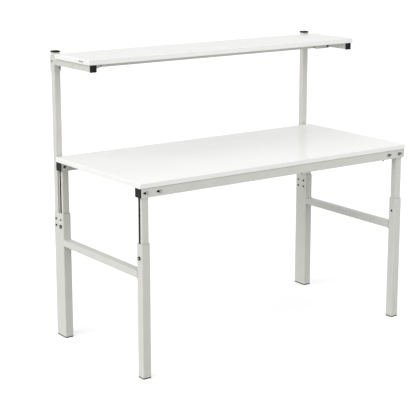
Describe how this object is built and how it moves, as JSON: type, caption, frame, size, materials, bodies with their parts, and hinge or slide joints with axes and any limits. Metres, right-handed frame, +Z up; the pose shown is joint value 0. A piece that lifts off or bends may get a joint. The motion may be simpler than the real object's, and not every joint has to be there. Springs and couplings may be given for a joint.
{
  "type": "workbench",
  "caption": "Height-adjustable workbench with telescopic steel legs, a white worktop and a raised shelf that slides on two rear posts.",
  "frame": {"origin": "on the floor, under the middle of the whole object's box", "axes": "+X to the right along the bench, +Y to the rear where the posts stand, +Z up"},
  "size_m": [1.5, 0.7474, 1.3318],
  "materials": {
    "frame_paint": "light grey semi-gloss powder coat with a fine orange-peel surface",
    "black_plastic": "black moulded plastic, matt, with a fine grain",
    "zinc_fastener": "bluish bright zinc plating on steel",
    "black_screw": "blackened steel, satin",
    "white_laminate": "chipboard faced with white melamine laminate and a white edge band"
  },
  "bodies": {
    "lower_frames": {"front_tube_left": "frame_paint", "front_tube_right": "frame_paint", "rear_tube_left": "frame_paint", "rear_tube_right": "frame_paint", "crossbar_left": "frame_paint", "crossbar_right": "frame_paint", "foot_plug_front_left": "black_plastic", "foot_plug_front_right": "black_plastic", "foot_plug_rear_left": "black_plastic", "foot_plug_rear_right": "black_plastic", "post_left": "frame_paint", "post_right": "frame_paint", "post_cap_left": "black_plastic", "post_cap_right": "black_plastic", "post_screw_left": "black_screw", "post_screw_right": "black_screw", "leg_lock_screw_front_left": "zinc_fastener", "leg_lock_screw_front_right": "zinc_fastener", "leg_lock_screw_rear_left": "zinc_fastener", "leg_lock_screw_rear_right": "zinc_fastener", "leg_slot_nut_front_left": "zinc_fastener", "leg_slot_nut_front_right": "zinc_fastener", "leg_slot_nut_rear_left": "zinc_fastener", "leg_slot_nut_rear_right": "zinc_fastener"},
    "worktop_assembly": {"worktop_board": "white_laminate", "rail_front": "frame_paint", "rail_rear": "frame_paint", "rail_cap_front_left": "black_plastic", "rail_cap_front_right": "black_plastic", "rail_cap_rear_left": "black_plastic", "rail_cap_rear_right": "black_plastic", "leg_head_front_left": "frame_paint", "leg_head_front_right": "frame_paint", "leg_head_rear_left": "frame_paint", "leg_head_rear_right": "frame_paint", "inner_leg_front_left": "frame_paint", "inner_leg_front_right": "frame_paint", "inner_leg_rear_left": "frame_paint", "inner_leg_rear_right": "frame_paint", "rail_bolt_front_left_outer": "zinc_fastener", "rail_bolt_front_left_inner": "zinc_fastener", "rail_bolt_front_right_outer": "zinc_fastener", "rail_bolt_front_right_inner": "zinc_fastener", "rail_bolt_rear_left_outer": "zinc_fastener", "rail_bolt_rear_left_inner": "zinc_fastener", "rail_bolt_rear_right_outer": "zinc_fastener", "rail_bolt_rear_right_inner": "zinc_fastener"},
    "shelf_assembly": {"shelf_board": "white_laminate", "shelf_rail": "frame_paint", "sleeve_left": "frame_paint", "sleeve_right": "frame_paint", "shelf_arm_left": "frame_paint", "shelf_arm_right": "frame_paint", "arm_cap_left": "black_plastic", "arm_cap_right": "black_plastic", "shelf_bracket_left": "frame_paint", "shelf_bracket_right": "frame_paint", "sleeve_screw_left": "black_screw", "sleeve_screw_right": "black_screw"}
  },
  "joints": [
    {"name": "worktop_lift", "type": "slide", "parent": "lower_frames", "child": "worktop_assembly", "axis": [0, 0, 1], "range_m": [-0.18, 0.046]},
    {"name": "shelf_slide", "type": "slide", "parent": "lower_frames", "child": "shelf_assembly", "axis": [0, 0, 1], "range_m": [-0.35, 0]}
  ]
}
